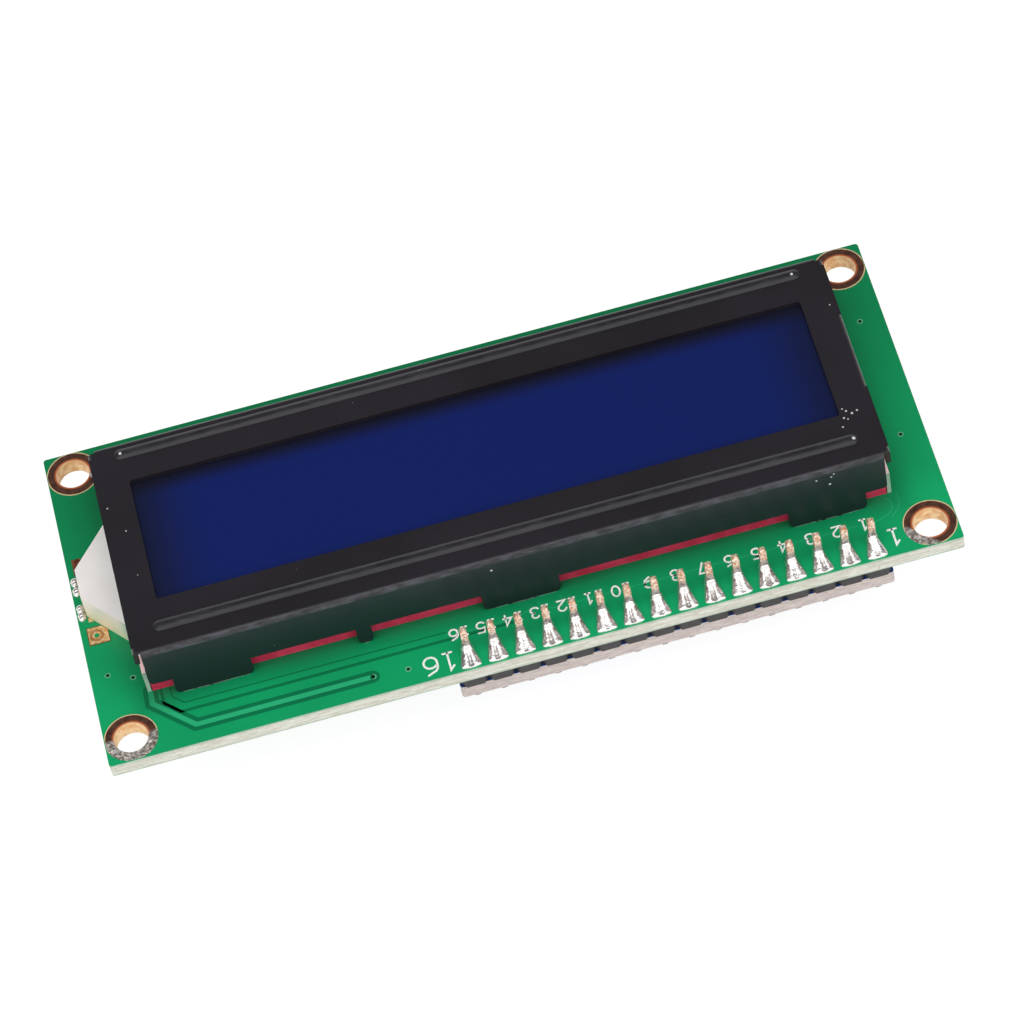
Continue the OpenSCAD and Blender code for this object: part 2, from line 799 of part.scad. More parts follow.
module trimmer_body() {
    color("#1f6fd0") on_pack(trimmer_x, trimmer_y) difference() {
        block([trimmer_w, trimmer_w, trimmer_h]);
        translate([0, 0, trimmer_h - rotor_seat])
            cylinder(r = rotor_d / 2 + rotor_clear, h = rotor_seat + 1);
        // cut corner that marks the first leg
        translate([-trimmer_w / 2, -trimmer_w / 2, -1]) rotate(45)
            cube([1.2, 1.2, 20], center = true);
    }
}

module trimmer_rotor() {
    slot_w = 0.6;
    slot_d = 0.7;
    h = rotor_seat + rotor_out - rotor_clear;
    color("#efe9dc") on_pack(trimmer_x, trimmer_y)
        translate([0, 0, trimmer_h - rotor_seat + rotor_clear]) difference() {
            cylinder(d = rotor_d, h = h);
            for (a = [0, 90]) rotate(a) block([rotor_d * 0.78, slot_w, slot_d + 1],
                [0, 0, h - slot_d]);
        }
}

module trimmer_pins() {
    color("#c9c9cc") at_trimmer_legs() translate([0, 0, -pack_t - leg_out])
        cylinder(d = trimmer_leg_d, h = pack_t + leg_out);
}

// ---------- small parts on the adapter board ----------

module adapter_resistors() {
    for (p = [[-13.6, 4.6], [-10.6, 5.2], [-7.4, 5.2], [-4.2, 5.2], [14.8, 4.8], [3.9, -8.2]])
        on_pack(p[0], p[1]) chip_part(2, 1.25, 0.5, 0.35);
}

module adapter_capacitors() {
    for (p = [[-9.8, -8.2], [-2.6, -8.2]]) on_pack(p[0], p[1]) chip_part(2, 1.25, 0.9, 0.45);
}

module status_led() {
    color("#e8e4d2") on_pack(16.4, -8) block([2, 1.25, 0.35]);
    color("#f2f0e6") on_pack(16.4, -8) block([1.1, 1.1, 0.4], [0, 0, 0.35]);
}

// Three-legged transistor that switches the backlight
module transistor() {
    color("#202022") on_pack(3.4, 4.9) block([2.9, 1.3, 0.95], [0, 0, 0.1]);
    color("#c9c9cc") on_pack(3.4, 4.9) {
        for (x = [-0.95, 0.95]) block([0.4, 0.55, 0.15], [x, -0.92, 0]);
        for (x = [-0.95, 0.95]) block([0.4, 0.15, 0.5], [x, -0.72, 0]);
        block([0.4, 0.55, 0.15], [0, 0.92, 0]);
        block([0.4, 0.15, 0.5], [0, 0.72, 0]);
    }
}

// ---------- drawing ----------

main_board();
hole_lands();
test_pads();
bezel();
front_polarizer();
front_glass();
rear_glass();
rear_polarizer();
contact_strip_upper();
contact_strip_lower();
diffuser_film();
light_guide();
reflector_film();
backlight_led();
led_solder();
controller_blob();
driver_blob();
board_resistors();
board_capacitors();
header_strip();
header_pins();
front_solder();
adapter_board();
adapter_solder();
expander_chip();
expander_leads();
trimmer_body();
trimmer_rotor();
trimmer_pins();
plug_header();
plug_pins();
jumper_header();
jumper_pins();
jumper_cap();
leg_solder();
adapter_resistors();
adapter_capacitors();
status_led();
transistor();
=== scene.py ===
import math

import bpy
from mathutils import Matrix, Vector


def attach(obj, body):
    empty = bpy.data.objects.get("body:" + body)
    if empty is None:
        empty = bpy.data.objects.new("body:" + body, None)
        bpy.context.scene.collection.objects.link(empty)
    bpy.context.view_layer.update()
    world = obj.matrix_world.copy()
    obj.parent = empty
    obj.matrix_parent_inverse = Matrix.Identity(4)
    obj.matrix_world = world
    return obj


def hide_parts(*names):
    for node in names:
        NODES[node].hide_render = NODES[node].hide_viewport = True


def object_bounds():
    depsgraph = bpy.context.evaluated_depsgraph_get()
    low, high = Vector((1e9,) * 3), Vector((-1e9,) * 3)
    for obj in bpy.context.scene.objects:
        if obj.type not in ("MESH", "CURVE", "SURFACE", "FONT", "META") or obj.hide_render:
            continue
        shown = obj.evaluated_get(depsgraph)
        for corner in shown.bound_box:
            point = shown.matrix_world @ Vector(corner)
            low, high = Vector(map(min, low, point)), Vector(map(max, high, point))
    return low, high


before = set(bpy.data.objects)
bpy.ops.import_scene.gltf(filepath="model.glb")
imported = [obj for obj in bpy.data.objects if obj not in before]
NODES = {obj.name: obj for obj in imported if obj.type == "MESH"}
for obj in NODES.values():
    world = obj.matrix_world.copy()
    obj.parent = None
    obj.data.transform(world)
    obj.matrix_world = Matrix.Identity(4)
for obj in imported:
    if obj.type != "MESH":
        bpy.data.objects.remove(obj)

CAD_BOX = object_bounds()
MM = 0.001

# Places on the main board, in millimetres in the row frame
HOLE_X, HOLE_Y = 37.5, 15.5
HOLE_R = 1.6
PIN_X = [-32 + 2.54 * k for k in range(16)]
PIN_Y = 15.75
EDGE_X, EDGE_Y = 40.0, 18.0
BEZEL_X, BEZEL_Y = 35.3, 12.1
FACE_Z = 7.15
BOARD_T = 1.6
PACK_X, PACK_Y = -12.95, 7.35
CUT_PAD, CUT_PAD_VIA = (38.4, 3.45), (38.55, 3.45)
LAND_SPOT = (35.6, -14.9)

# Chip parts behind the boards: x, y, length, length of an end cap, and whether it lies along X
RESISTORS = [(31 - 3 * k, 13.25, 1.6, 0.3, False) for k in range(5)]
RESISTORS += [(33.5, -9, 3.2, 0.5, False), (2.67, -10.59, 2, 0.35, True)]
RESISTORS += [(PACK_X + x, PACK_Y + y, 2, 0.35, True) for x, y in
              [(-13.6, 4.6), (-10.6, 5.2), (-7.4, 5.2), (-4.2, 5.2), (14.8, 4.8), (3.9, -8.2)]]
CAPACITORS = [(4, 1.2, 2, 0.45, True), (-30.77, -10.59, 2, 0.45, False)]
CAPACITORS += [(PACK_X + x, PACK_Y - 8.2, 2, 0.45, True) for x in (-9.8, -2.6)]

# Thickness of what lies on the mask, in millimetres
INK_T = 0.02
GAP_T, TRACE_T = 0.004, 0.008
BACK_Z = -BOARD_T

# Chips in the paint, with painted highlights: (x, y, radius) on the face, whose first three are
# painted glints at the ends of the beads, and (x, z, radius) on the skirt by the pins
FACE_CHIPS_AND_GLINTS = [(32.3, -10.66, 0.13), (-32.15, -10.64, 0.12), (-32.53, 9.41, 0.15),
              (-32.71, 6.14, 0.08), (-33.16, 6.54, 0.1), (-33.68, 6.36, 0.08),
              (-32.42, 5.81, 0.06), (-32.32, 6.85, 0.08), (-32.64, 7.07, 0.06),
              (-31.96, 7.8, 0.07), (33.36, -1.9, 0.06), (34.57, -4.95, 0.06),
              (-34.57, -6.14, 0.05)]
SKIRT_CHIPS = [(-28.2, 6.1, 0.08), (-29.6, 6.1, 0.07), (-29.85, 6.45, 0.07),
               (-29.4, 5.1, 0.1), (2.2, 5.77, 0.1)]

# Copper on the front: a wide lane between its two gaps, single gaps, fine lines and vias
LANE = [(34.9, 11.0), (34.95, 12.5), (31.5, 15.95), (15.0, 15.95)]
LANE_W, LANE_GAP_W = 0.5, 1.36
GAPS = [(0.32, [(33.95, 11.0), (33.9, 12.75), (32.55, 14.15), (1.5, 14.15)]),
        (0.14, [(33.1, 11.0), (33.05, 12.3), (32.1, 13.25), (7.6, 13.3)])]
FINE_W = 0.09
FINE_LINES = [
    [(-34.2, 11.3), (-34.75, 12.1), (-34.7, 12.8), (-34.2, 13.4), (-31.5, 14.3)],
    [(-35.4, 11.4), (-35.55, 12.3), (-35.2, 13.0), (-34.4, 13.75)],
    [(-1.2, 12.5), (-1.5, 13.3), (-2.4, 13.75), (-31.0, 13.75)],
    [(-3.3, 12.5), (-3.6, 13.4), (-4.4, 14.1)],
    [(6.6, 13.75), (1.0, 13.75), (-0.8, 13.1)]]
VIAS = [(11.72, 16.15), (14.95, 15.95), (-37.7, -8.85), (-37.7, 5.05), (38.37, 8.15),
        (36.15, 9.1)]
VIA_RING_R, VIA_RING_W, VIA_HOLE_R = 0.24, 0.1, 0.16
BACK_W = 0.22

# Front joints, in millimetres from the pin: reach behind it, the foot's end and its round-off
JOINT_BACK, JOINT_FLARE, JOINT_ROUND, JOINT_ROUND_L = 0.72, 1.5, 1.75, 0.4
JOINT_FROM, JOINT_TO = -0.719, 2.149
JOINT_SUNK = -0.001

# Camera, in millimetres, and the soft lamps: azimuth, elevation, distance, size, radiance
CAMERA_AT = (11.605, 256.492, 345.045)
CAMERA_WAY = (-0.02898, -0.59464, -0.80347)
CAMERA_RIGHT = (-0.96543, 0.22496, -0.13168)
SENSOR, LENS = 36, 165.56
LAMPS = {"box_right": (35, 40, 0.55, (0.6, 0.6), 1.3),
         "box_left": (145, 40, 0.55, (0.6, 0.6), 1.3),
         "box_top": (90, 81, 0.6, (0.6, 0.4), 1.7),
         "box_front": (90, 22, 0.7, (0.7, 0.3), 1.2),
         "box_back": (270, 14, 0.7, (0.7, 0.2), 1.0)}
WORLD_LEVEL = 0.15

# Floor, in metres: flat out to a radius, a curve up, and a low wall
FLOOR_INNER, FLOOR_R, FLOOR_CURVE, WALL_H = 0.3, 2.2, 0.4, 0.9
FLOOR_SIDES = 64


# ---------- materials written as sums of node outputs ----------

def linear(byte):
    c = byte / 255
    return c / 12.92 if c <= 0.04045 else ((c + 0.055) / 1.055) ** 2.4


class Val:
    """One output of a material's nodes, with arithmetic."""

    def __init__(self, mat, socket):
        self.mat, self.socket = mat, socket

    def __add__(self, other):
        return self.mat.math("ADD", self, other)

    __radd__ = __add__

    def __sub__(self, other):
        return self.mat.math("SUBTRACT", self, other)

    def __rsub__(self, other):
        return self.mat.math("SUBTRACT", other, self)

    def __mul__(self, other):
        return self.mat.math("MULTIPLY", self, other)

    __rmul__ = __mul__

    def __abs__(self):
        return self.mat.math("ABSOLUTE", self, 0)

    def low(self, other):
        return self.mat.math("MINIMUM", self, other)

    def high(self, other):
        return self.mat.math("MAXIMUM", self, other)


class Finish:
    """A procedural material. Lengths are in millimetres at the rest place, and colours in
    sRGB bytes."""

    def __init__(self, name):
        self.mat = bpy.data.materials.new(name)
        self.mat.use_nodes = True
        self.tree = self.mat.node_tree
        self.tree.nodes.clear()
        self.bsdf = self.tree.nodes.new("ShaderNodeBsdfPrincipled")
        out = self.tree.nodes.new("ShaderNodeOutputMaterial")
        self.tree.links.new(self.bsdf.outputs[0], out.inputs[0])
        coords = self.node("TexCoord")
        normal = Val(self, coords.socket.node.outputs["Normal"])
        place = Val(self, coords.socket.node.outputs["Object"])
        self.place = self.node("VectorMath", {0: place, "Scale": 1 / MM}, operation="SCALE")
        self.x, self.y, self.z = self.split(self.place)
        self.nx, _, self.nz = self.split(normal)

    def node(self, kind, inputs=None, out=0, **settings):
        n = self.tree.nodes.new("ShaderNode" + kind)
        for key, value in settings.items():
            setattr(n, key, value)
        for key, value in (inputs or {}).items():
            self.put(n.inputs[key], value)
        return Val(self, n.outputs[out])

    def put(self, socket, value):
        if isinstance(value, Val):
            self.tree.links.new(value.socket, socket)
        elif socket.type == "RGBA":
            socket.default_value = [linear(b) for b in value] + [1]
        else:
            socket.default_value = value

    def split(self, vector):
        n = self.node("SeparateXYZ", {0: vector}).socket.node
        return [Val(self, s) for s in n.outputs]

    def math(self, kind, a, b=0.0, c=0.0):
        return self.node("Math", {0: a, 1: b, 2: c}, operation=kind)

    def ramp(self, value, start, end):
        """0 before start, 1 past end, smooth between; start may be the larger one."""
        if start > end:
            return 1 - self.ramp(value, end, start)
        return self.node("MapRange", {0: value, 1: start, 2: end, 3: 0.0, 4: 1.0},
                         interpolation_type="SMOOTHSTEP")

    def band(self, value, low, high, soft):
        """1 between low and high, 0 outside."""
        return self.ramp(value, low - soft, low + soft) * self.ramp(value, high + soft, high - soft)

    def mix(self, share, a, b):
        return self.node("Mix", {0: share, 6: a, 7: b}, 2, data_type="RGBA")

    def stretched(self, stretch, shift=(0, 0, 0)):
        return self.node("VectorMath", {0: self.place, 1: stretch, 2: shift},
                         operation="MULTIPLY_ADD")

    def noise(self, size, detail=2.0, rough=0.5, stretch=(1, 1, 1), shift=(0, 0, 0)):
        return self.node("TexNoise", {"Vector": self.stretched(stretch, shift), "Scale": 1 / size,
                                      "Detail": detail, "Roughness": rough})

    def cells(self, size):
        return self.node("TexVoronoi", {"Vector": self.place, "Scale": 1 / size})

    def distance(self, *centre):
        """Distance in the plane of the board from (x, y), or in space from (x, y, z)."""
        flat = [self.x - centre[0], self.y - centre[1]]
        if len(centre) == 3:
            flat.append(self.z - centre[2])
        return self.math("SQRT", sum((d * d for d in flat), start=0.0))

    def spots(self, chips_and_glints):
        """1 on round spots, paint chips and painted glints, each given as its centre's coordinates
        and its radius.
        """
        nearest = None
        for *centre, radius in chips_and_glints:
            one = self.distance(*centre) - radius
            nearest = one if nearest is None else nearest.low(one)
        return self.ramp(nearest, 0.05, -0.03)

    def wall(self):
        """1 on faces that stand upright, 0 on flat ones."""
        return self.ramp(abs(self.nz), 0.6, 0.4)

    def bump(self, height, strength=1.0):
        self.put(self.bsdf.inputs["Normal"],
                 self.node("Bump", {"Height": height, "Strength": strength, "Distance": MM}))

    def look(self, color, roughness, metallic=0.0, specular=0.5, **more):
        for key, value in {"Base Color": color, "Roughness": roughness, "Metallic": metallic,
                           "Specular IOR Level": specular, **more}.items():
            self.put(self.bsdf.inputs[key], value)

    def dress(self, *names):
        for name in names:
            for s in NODES[name].material_slots:
                s.material = self.mat


# ---------- boards ----------

def laminate(f, tones):
    """Sawn glass-fibre laminate in four tones: two for the layers along the edge, then one
    for the dark flecks and one for the pale ones."""
    layers = f.noise(0.5, 3, 0.7, (0.35, 0.35, 2.2))
    flecks = f.noise(0.28, 2, 0.6, (0.6, 0.6, 1.4), (7, 3, 1))
    color = f.mix(f.ramp(layers, 0.36, 0.62), tones[0], tones[1])
    color = f.mix(f.ramp(flecks, 0.6, 0.75) * 0.6, color, tones[2])
    return f.mix(f.ramp(flecks, 0.36, 0.24) * 0.7, color, tones[3])


def main_board_finish():
    f = Finish("main_mask")
    ax, ay = abs(f.x), abs(f.y)
    mottle = f.noise(9, 2)
    mask = mask_color(f, mottle, (0, 122, 72), (10, 168, 104))
    edge = laminate(f, ((236, 238, 226), (214, 212, 196), (196, 178, 150), (248, 250, 240)))
    rim = f.ramp(f.z, -0.34, -0.12) + f.ramp(f.z, -1.35, -1.55)
    edge = f.mix(rim * 0.45, edge, (120, 176, 146))
    # painted shade: the walls of holes and slots inside the outline are darker than the outer edge
    outside = f.ramp((ax - EDGE_X + 0.35).high(ay - EDGE_Y + 0.35), 0, 0.02)
    edge = f.mix(outside, (150, 140, 110), edge)
    wall = f.wall()
    f.look(f.mix(wall, mask, edge), 0.3 + wall * 0.4 + mottle * 0.06, specular=0.35)
    f.bump(f.noise(1.6, 3) * 0.012 + f.noise(0.16, 3, 0.7, (0.4, 0.4, 2)) * wall * 0.06)
    f.dress("main_board")


def mask_color(f, mottle, deep, bright):
    """Solder mask, with painted light and shade: lighter towards the pin row and the ends, darker
    where the bezel shades it.
    """
    # painted light: lighter towards the pin row and towards the ends
    glow = f.ramp(f.y, -20, 19) * 0.8 + f.ramp(abs(f.x), 34, 41) * 0.2
    mask = f.mix(glow, deep, bright)
    mask = f.mix(f.ramp(mottle, 0.35, 0.7) * 0.2, mask, deep)
    near = (abs(f.x) - BEZEL_X).high(abs(f.y) - BEZEL_Y)
    return f.mix(f.ramp(near, 2.6, -0.6) * 0.45, mask, (0, 84, 52))


def adapter_board_finish():
    f = Finish("adapter_mask")
    edge = laminate(f, ((228, 214, 208), (206, 192, 188), (168, 146, 138), (246, 238, 232)))
    wall = f.wall()
    mottle = f.noise(5, 2)
    mask = f.mix(f.ramp(mottle, 0.3, 0.7) * 0.5, (18, 74, 158), (26, 88, 176))
    f.look(f.mix(wall, mask, edge), 0.28 + wall * 0.42, specular=0.4)
    f.bump(f.noise(0.16, 3, 0.7, (0.4, 0.4, 2)) * wall * 0.06 + f.noise(1.4, 3) * 0.012)
    f.dress("adapter_board")


def land_finish():
    f = Finish("land_copper")
    dx, dy = abs(f.x) - HOLE_X, abs(f.y) - HOLE_Y
    r = f.math("SQRT", dx * dx + dy * dy)
    mottle = f.noise(0.7, 4, 0.65)
    top = f.mix(f.ramp(mottle, 0.3, 0.7), (62, 34, 26), (98, 62, 46))
    top = f.mix(f.ramp(r, 1.86, 1.68), top, (196, 104, 62))
    rim = f.ramp(r + mottle * 0.06, 2.4, 2.46)
    top = f.mix(rim, top, (236, 206, 160))
    barrel = f.mix(f.ramp(f.noise(0.6, 3), 0.35, 0.65), (252, 222, 176), (232, 182, 122))
    inside = f.ramp(r, HOLE_R + 0.03, HOLE_R)
    color = f.mix(inside, top, barrel)
    # dull solder left on the two lands by the pin row, and a spot of it on a far one
    sx, sy = f.x + HOLE_X, f.y - HOLE_Y
    patch = f.ramp(sx + sy * 0.9, 1.7, 2.1) * f.ramp(sy, -0.35, 0.2)
    patch = patch * f.ramp(f.noise(0.5, 2), 0.3, 0.42)
    patch = patch * (1 - inside)
    spot = f.ramp(f.distance(*LAND_SPOT), 0.5, 0.3)
    silver = f.mix(f.ramp(f.noise(0.35, 3), 0.4, 0.6), (235, 228, 220), (150, 140, 132))
    patch = patch.high(spot)
    color = f.mix(patch, color, silver)
    f.look(color, 0.42 - patch * 0.15 + mottle * 0.1, metallic=0.25 + patch * 0.5, specular=0.4)
    f.bump(mottle * 0.03 + f.noise(0.3, 2) * patch * 0.12)
    f.dress("hole_lands")


def pad_finish():
    f = Finish("pad_gold")
    r = f.distance(*CUT_PAD_VIA)
    mottle = f.noise(0.35, 3, 0.6)
    gold = f.mix(f.ramp(mottle, 0.35, 0.65), (214, 156, 92), (252, 224, 172))
    gold = f.mix(f.band(r, 0.42, 0.66, 0.08) * 0.8, gold, (170, 98, 50))
    brown = f.mix(f.ramp(mottle, 0.4, 0.6), (92, 46, 30), (150, 92, 60))
    color = f.mix(f.ramp(f.y, 1.0, 0.4), gold, brown)
    outer = (abs(f.x - CUT_PAD[0]) - 0.9).high(abs(f.y - CUT_PAD[1]) - 0.9)
    color = f.mix(f.ramp(outer, 0.0, 0.06) * f.ramp(f.y, 2, 2.2), color, (120, 62, 34))
    f.look(color, 0.36, metallic=0.4)
    f.bump(mottle * 0.04)
    f.dress("test_pads")


# ---------- display ----------

def bezel_finish():
    f = Finish("bezel_paint")
    ax, ay = abs(f.x), abs(f.y)
    haze = f.noise(14, 2)
    grain = f.noise(0.22, 3, 0.6)
    paint = f.mix(f.ramp(haze, 0.3, 0.7), (24, 21, 26), (33, 30, 36))
    # painted reflection: a teal tint on the outer faces of the skirts, where they mirror the green
    # board
    side = f.ramp(abs(f.nz), 0.5, 0.3)
    paint = f.mix(side * f.ramp(ay, BEZEL_Y - 0.3, BEZEL_Y - 0.1), paint, (24, 34, 38))
    # painted highlight along the long bends and on the beads, broken up like paint rubbed thin
    # there
    bend = f.band(f.z, FACE_Z - 0.5, FACE_Z - 0.04, 0.05)
    bend = bend * f.ramp(ay, BEZEL_Y - 0.5, BEZEL_Y - 0.25)
    rub = f.noise(0.5, 3, 0.6, (0.25, 1, 1))
    paint = f.mix(bend * f.ramp(rub, 0.35, 0.7) * 0.6, paint, (86, 88, 96))
    bead_highlight_and_wear = f.ramp(f.z, FACE_Z + 0.09, FACE_Z + 0.17)
    paint = f.mix(bead_highlight_and_wear * f.ramp(rub, 0.4, 0.75) * 0.35, paint, (70, 68, 76))
    # bare steel where the sheet was cut: the two ends of the face and the feet's lower edges
    cut = f.ramp(ax, BEZEL_X - 0.05, BEZEL_X - 0.01) * f.ramp(abs(f.nx), 0.8, 0.95)
    cut = cut * f.ramp(f.z, FACE_Z - 0.47, FACE_Z - 0.42)
    foot = f.ramp(f.z, 0.1, 0.04) * f.ramp(f.z, -0.1, -0.02) * f.ramp(ay, BEZEL_Y - 0.1, BEZEL_Y)
    bare = cut.high(foot * f.ramp(f.noise(0.8, 2), 0.35, 0.5))
    color = f.mix(bare * f.ramp(f.noise(0.6, 3, 0.6), 0.25, 0.5), paint, (172, 178, 176))
    # chips, painted highlights at the ends of the beads, and dust over parts of the paint
    chips_and_glints = f.spots(FACE_CHIPS_AND_GLINTS) * f.ramp(f.nz, 0.4, 0.8)
    chips_and_glints = chips_and_glints.high(f.spots([(x, BEZEL_Y, z, r) for x, z, r in SKIRT_CHIPS]))
    dust = f.ramp(f.cells(2.3), 0.035, 0.015) * f.ramp(f.noise(11, 1), 0.5, 0.62)
    color = f.mix(chips_and_glints.high(dust * 0.7), color, (214, 212, 210))
    f.look(color, 0.34 + grain * 0.08 + chips_and_glints * 0.3, metallic=bare * 0.5, specular=0.4)
    f.bump(grain * 0.006 + rub * 0.004 + chips_and_glints * 0.02)
    f.dress("bezel")


def polarizer_finish():
    f = Finish("display_film")
    ax = abs(f.x)
    # painted shade: the blue darkens towards the ends of the window, in a band along its -Y edge
    # and slightly along its +Y edge, where the bezel shades the backlight
    blue_with_painted_shade = f.mix(f.ramp(ax, 25.5, 32.5), (15, 32, 98), (20, 27, 60))
    blue_with_painted_shade = f.mix(f.ramp(ax, 29.5, 32.2) * 0.5, blue_with_painted_shade, (18, 24, 52))
    blue_with_painted_shade = f.mix(f.ramp(f.x, 10, -33) * 0.22, blue_with_painted_shade, (10, 26, 82))
    dark = f.ramp(f.y, -5.0, -7.3)
    blue_with_painted_shade = f.mix(dark, blue_with_painted_shade, (18, 18, 30))
    blue_with_painted_shade = f.mix(f.ramp(f.y, 5.4, 6.6) * 0.25, blue_with_painted_shade, (20, 28, 70))
    f.look(f.mix(f.noise(8, 2) * 0.12, blue_with_painted_shade, (14, 26, 84)), 0.12, specular=0.3)
    f.dress("front_polarizer")


def plain(name, nodes, low, high, size, roughness, metallic=0.0, specular=0.5, relief=0.01,
          **more):
    """A finish of two close colours, mottled at one size, with a fine relief."""
    f = Finish(name)
    mottle = f.noise(size, 3, 0.6)
    f.look(f.mix(f.ramp(mottle, 0.32, 0.68), low, high), roughness + mottle * 0.1,
           metallic=metallic, specular=specular, **more)
    f.bump(mottle * relief)
    f.dress(*nodes)


def guide_finish():
    f = Finish("guide_plastic")
    mottle = f.noise(3, 2)
    white = f.mix(f.ramp(mottle, 0.35, 0.65), (248, 242, 239), (253, 248, 246))
    wall = f.wall()
    # painted light on the upright faces: a warm tint that changes with height, and a greenish
    # painted shade where the bezel covers them
    painted_side_light = f.mix(f.ramp(f.z + f.noise(1.2, 2) * 1.2, 0.6, 3.0), (250, 240, 205), (240, 234, 218))
    painted_side_light = f.mix(f.ramp(f.x, 36.2, 35.4) * 0.8, painted_side_light, (150, 190, 175))
    f.look(f.mix(wall, white, painted_side_light), 0.34, specular=0.4)
    f.bump(f.noise(0.9, 2) * 0.01)
    f.dress("light_guide")


def elastomer_finish():
    f = Finish("elastomer")
    layers = f.node("TexWave", {"Vector": f.place, "Scale": 9.0, "Distortion": 0.6, "Detail": 1.0},
                    1, bands_direction="X")
    mottle = f.noise(1.5, 3)
    pink = f.mix(f.ramp(mottle, 0.35, 0.65), (226, 50, 88), (246, 70, 108))
    f.look(f.mix(layers * 0.16, pink, (206, 36, 74)), 0.5 + mottle * 0.1, specular=0.35)
    f.bump(layers * 0.01 + mottle * 0.01)
    f.dress("contact_strip_upper", "contact_strip_lower")


# ---------- metal ----------

def solder_finish(name, tone):
    f = Finish(name)
    mottle = f.noise(0.5, 3, 0.55)
    color = f.mix(f.ramp(mottle, 0.3, 0.7), tone, (246, 243, 241))
    f.look(color, 0.2 + f.ramp(mottle, 0.5, 0.75) * 0.15, metallic=0.92)
    f.bump(mottle * 0.05)
    return f


def pin_finish():
    f = Finish("pin_metal")
    mottle = f.noise(0.3, 3, 0.65, (1, 1, 0.7))
    patch = f.noise(0.22, 2, 0.5, shift=(3, 5, 9))
    tip = f.ramp(f.z + mottle * 0.9, 2.0, 2.7)
    grey = f.mix(f.ramp(mottle, 0.35, 0.65), (104, 96, 92), (186, 178, 172))
    cream = f.mix(f.ramp(patch, 0.4, 0.62), (206, 150, 112), (250, 232, 214))
    cream = f.mix(f.ramp(mottle, 0.58, 0.7) * 0.7, cream, (146, 84, 58))
    f.look(f.mix(tip, grey, cream), 0.34, metallic=0.35, specular=0.6)
    f.bump(mottle * 0.08 + patch * 0.05)
    f.dress("header_pins")


def chip_ends(f, parts):
    """1 on the tinned ends of chip parts, given as in RESISTORS."""
    found = None
    for x, y, length, cap, along in parts:
        u, v = (f.x - x, f.y - y) if along else (f.y - y, f.x - x)
        one = f.ramp(abs(u), length / 2 - cap - 0.02, length / 2 - cap + 0.02)
        one = one * f.ramp(abs(u), length / 2 + 0.3, length / 2 + 0.1) * f.ramp(abs(v), 1.3, 1.1)
        found = one if found is None else found.high(one)
    return found


def chip_part_finish(name, nodes, body, parts):
    f = Finish(name)
    ends = chip_ends(f, parts)
    mottle = f.noise(0.4, 3)
    tin = f.mix(f.ramp(mottle, 0.35, 0.65), (196, 194, 190), (232, 230, 226))
    dark = f.mix(f.ramp(mottle, 0.35, 0.65), body[0], body[1])
    f.look(f.mix(ends, dark, tin), 0.42 - ends * 0.12, metallic=ends * 0.85)
    f.bump(mottle * 0.02)
    f.dress(*nodes)


main_board_finish()
adapter_board_finish()
land_finish()
pad_finish()
bezel_finish()
polarizer_finish()
guide_finish()
elastomer_finish()
pin_finish()
plain("glass", ["front_glass", "rear_glass"], (196, 210, 208), (210, 222, 220), 6, 0.08,
      specular=0.5, relief=0.001, Alpha=0.55)
plain("grey_film", ["rear_polarizer"], (122, 126, 138), (134, 138, 150), 5, 0.2, relief=0.002)
plain("white_film", ["diffuser_film", "reflector_film"], (232, 232, 230), (244, 244, 242), 4, 0.5,
      relief=0.004)
plain("lamp", ["backlight_led"], (232, 222, 176), (246, 240, 206), 0.8, 0.3)
plain("resin", ["controller_blob", "driver_blob"], (22, 22, 23), (34, 34, 36), 3, 0.22, relief=0.12)
plain("header_plastic", ["header_strip", "plug_header", "jumper_header"], (40, 37, 38),
      (54, 50, 51), 0.6, 0.42, relief=0.02)
plain("pin_gold", ["plug_pins", "jumper_pins"], (214, 164, 84), (238, 198, 118), 0.8, 0.24,
      metallic=0.9, relief=0.02)
plain("chip_plastic", ["expander_chip"], (28, 28, 30), (40, 40, 42), 0.3, 0.55, relief=0.03)
plain("transistor_plastic", ["transistor"], (34, 34, 36), (46, 46, 48), 0.3, 0.5, relief=0.03)
plain("lead_metal", ["expander_leads", "trimmer_pins"], (186, 186, 188), (214, 214, 216), 0.5, 0.26,
      metallic=0.95, relief=0.02)
plain("trimmer_plastic", ["trimmer_body"], (20, 96, 196), (34, 112, 214), 1.2, 0.34, relief=0.02)
plain("rotor_plastic", ["trimmer_rotor"], (226, 218, 200), (240, 234, 220), 0.8, 0.45, relief=0.03)
plain("cap_plastic", ["jumper_cap"], (24, 25, 29), (36, 37, 42), 0.8, 0.4, relief=0.03)
plain("status_lamp", ["status_led"], (228, 222, 196), (244, 240, 222), 0.5, 0.3)
solder_finish("solder", (214, 210, 207)).dress("adapter_solder", "leg_solder", "led_solder",
                                               "front_solder")
chip_part_finish("chip_parts", ["board_resistors", "adapter_resistors"],
                 ((24, 24, 26), (40, 40, 43)), RESISTORS)
chip_part_finish("chip_caps", ["board_capacitors", "adapter_capacitors"],
                 ((150, 116, 84), (176, 140, 104)), CAPACITORS)


# ---------- thin flat pieces: gaps in the copper, traces, vias and numerals ----------

def piece(name, verts, faces, finish, slot, body="module", smooth=False):
    """A mesh piece made at its place in the row frame from points in millimetres."""
    mesh = bpy.data.meshes.new(name)
    mesh.from_pydata([tuple(c * MM for c in v) for v in verts], [], faces)
    mesh.validate()
    mesh.polygons.foreach_set("use_smooth", [smooth] * len(mesh.polygons))
    mesh.materials.append(finish.mat)
    obj = bpy.data.objects.new(name, mesh)
    bpy.context.scene.collection.objects.link(obj)
    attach(obj, body)
    return obj


def prism(outline, z0, z1, verts, faces):
    """Adds a closed prism; the outline runs counter-clockwise."""
    first, n = len(verts), len(outline)
    verts += [(x, y, z0) for x, y in outline] + [(x, y, z1) for x, y in outline]
    faces.append([first + k for k in reversed(range(n))])
    faces.append([first + n + k for k in range(n)])
    faces += [[first + k, first + (k + 1) % n, first + n + (k + 1) % n, first + n + k]
              for k in range(n)]


